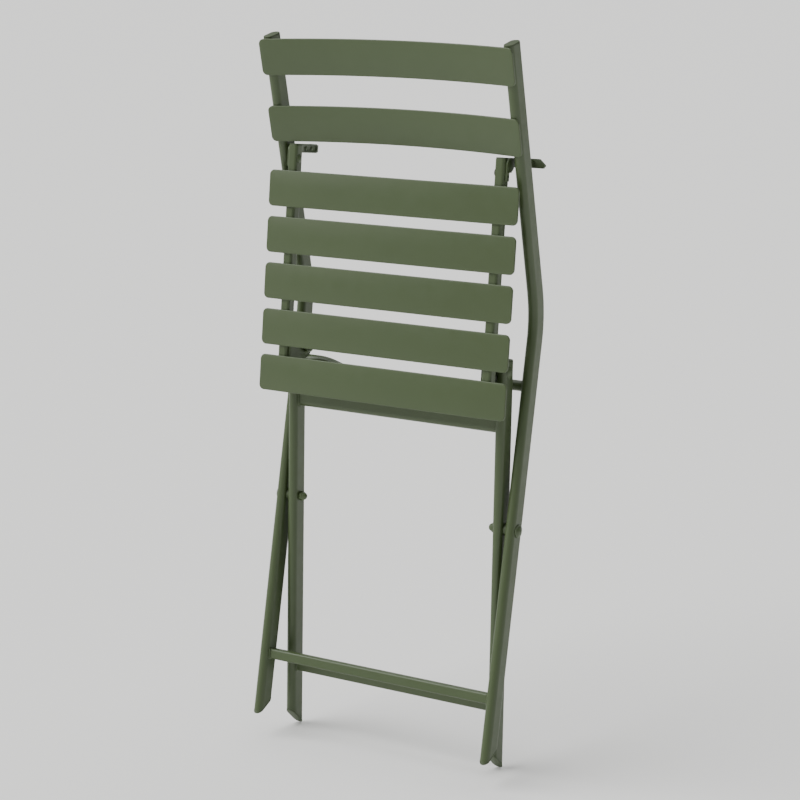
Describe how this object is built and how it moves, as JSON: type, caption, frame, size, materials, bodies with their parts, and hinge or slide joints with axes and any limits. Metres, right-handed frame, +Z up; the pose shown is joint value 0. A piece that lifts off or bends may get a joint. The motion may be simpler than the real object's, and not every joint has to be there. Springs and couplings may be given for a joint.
{
  "type": "folding slatted chair",
  "caption": "Folding chair of painted flat-oval tube with a slatted seat and curved slatted back, stored folded; crossed legs open about a pivot on each side.",
  "frame": {"origin": "middle of the folded chair's bounding box, at the height of the rear feet's lowest points", "axes": "+Z up along the folded chair, -Y towards the sitter's side, X across the chair with +X on the right seen from the front"},
  "size_m": [0.3836, 0.1465, 0.9677],
  "materials": {
    "tube_paint": "satin",
    "slat_paint": "satin",
    "hardware_paint": "satin",
    "plastic_trim": "matte"
  },
  "bodies": {
    "long_frame": {"long_tube_left": "tube_paint", "long_tube_right": "tube_paint", "back_slat_upper": "slat_paint", "back_slat_lower": "slat_paint", "curved_crossbar": "tube_paint", "front_stretcher": "tube_paint", "top_plugs": "plastic_trim", "front_foot_cap_left": "plastic_trim", "front_foot_cap_right": "plastic_trim", "cross_bolts": "hardware_paint", "cross_washers": "hardware_paint", "cross_spacers": "plastic_trim", "cross_cap_nuts": "hardware_paint"},
    "rear_legs": {"rear_tube_left": "tube_paint", "rear_tube_right": "tube_paint", "rear_top_crossbar": "tube_paint", "rear_stretcher": "tube_paint", "rear_top_plugs": "plastic_trim", "rear_foot_cap_left": "plastic_trim", "rear_foot_cap_right": "plastic_trim", "seat_pivot_bolts": "hardware_paint", "seat_pivot_spacers": "plastic_trim", "seat_pivot_nuts": "hardware_paint"},
    "seat": {"seat_rail_left": "tube_paint", "seat_rail_right": "tube_paint", "seat_slat_1": "slat_paint", "seat_slat_2": "slat_paint", "seat_slat_3": "slat_paint", "seat_slat_4": "slat_paint", "seat_slat_5": "slat_paint", "rail_end_plugs": "plastic_trim", "pivot_lug_left": "tube_paint", "pivot_lug_right": "tube_paint", "rear_hook_left": "tube_paint", "rear_hook_right": "tube_paint", "hook_rivets": "hardware_paint", "guide_block_left": "plastic_trim", "guide_block_right": "plastic_trim", "guide_rivets": "hardware_paint"}
  },
  "joints": [
    {"name": "leg_fold", "type": "hinge", "parent": "long_frame", "child": "rear_legs", "pos_m": [0, 0.00447, 0.33398], "axis": [1, 0, 0], "range_deg": [0, 68]},
    {"name": "seat_tilt", "type": "hinge", "parent": "rear_legs", "child": "seat", "pos_m": [0, 0.01126, 0.54207], "axis": [1, 0, 0], "range_deg": [-132.6, 0]}
  ],
  "couplings": [
    {"joint": "seat_tilt", "follows": "leg_fold", "ratio": -1.948}
  ]
}
